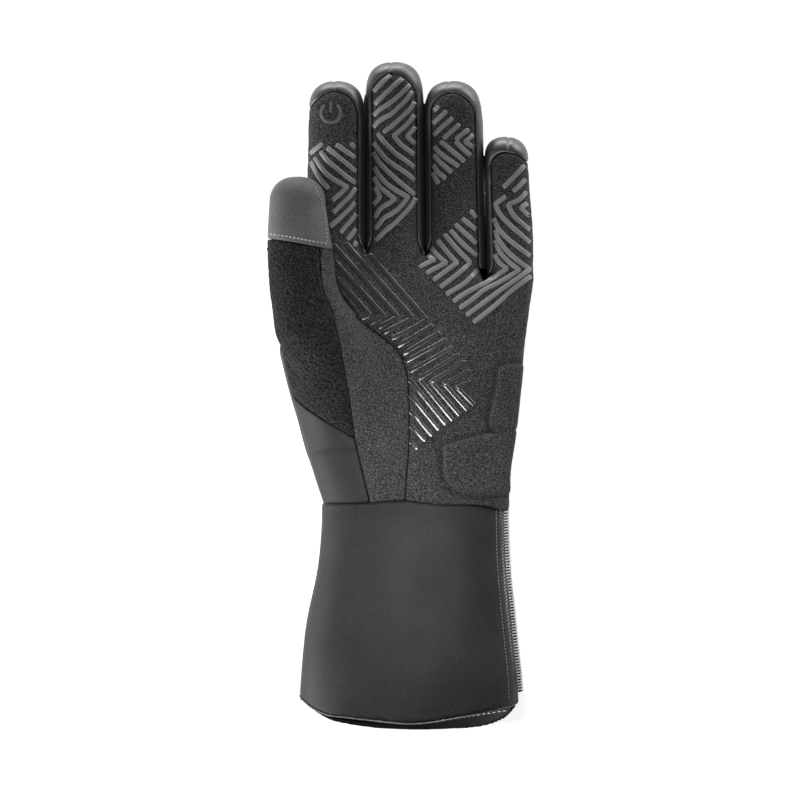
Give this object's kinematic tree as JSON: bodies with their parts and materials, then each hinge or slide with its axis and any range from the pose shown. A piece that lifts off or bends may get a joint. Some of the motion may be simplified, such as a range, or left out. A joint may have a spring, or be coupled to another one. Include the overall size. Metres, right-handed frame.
{
  "type": "heated glove",
  "caption": "Left-hand padded winter glove with grip-print palm, boucle thumb panel and long gauntlet cuff with side zip, open at the hem, lying on its back",
  "frame": {"origin": "on the flat resting face on the back of the hand, under the middle of the palm", "axes": "+Y from the palm to the fingertips, +X to the little finger, +Z out of the palm"},
  "size_m": [0.1329, 0.334, 0.0539],
  "materials": {
    "palm_suede": "black synthetic suede with fine nap and semi-gloss silicone grip bars",
    "softshell": "smooth black softshell",
    "finger_strip": "smooth navy-black stretch softshell with a soft sheen",
    "thumb_cap": "smooth grey stretch softshell",
    "boucle": "coarse black boucle terry",
    "gusset": "dark grey suede-like knit with a fine speckle",
    "side_panel": "smooth dark grey softshell",
    "cuff_softshell": "smooth dark grey laminated softshell",
    "hem_binding": "grey binding tape with white stitching",
    "zip_tape": "dark grey herringbone zip tape",
    "zip_coil": "grey moulded nylon coil",
    "zip_slider": "black enamelled zip slider"
  },
  "bodies": {
    "root": {"palm_panel": "palm_suede", "back_panel": "softshell", "index_strip": "finger_strip", "middle_strip": "finger_strip", "ring_strip": "finger_strip", "little_strip": "finger_strip", "thumb_cap": "thumb_cap", "thumb_panel": "boucle", "thumb_gusset": "gusset", "thumb_back": "softshell", "side_panel": "side_panel", "cuff_front": "cuff_softshell", "cuff_back": "cuff_softshell", "front_hem_binding": "hem_binding", "hem_facing": "hem_binding", "zip_tape_front": "zip_tape", "zip_tape_back": "zip_tape", "zip_coil": "zip_coil", "zip_slider": "zip_slider"}
  },
  "joints": []
}
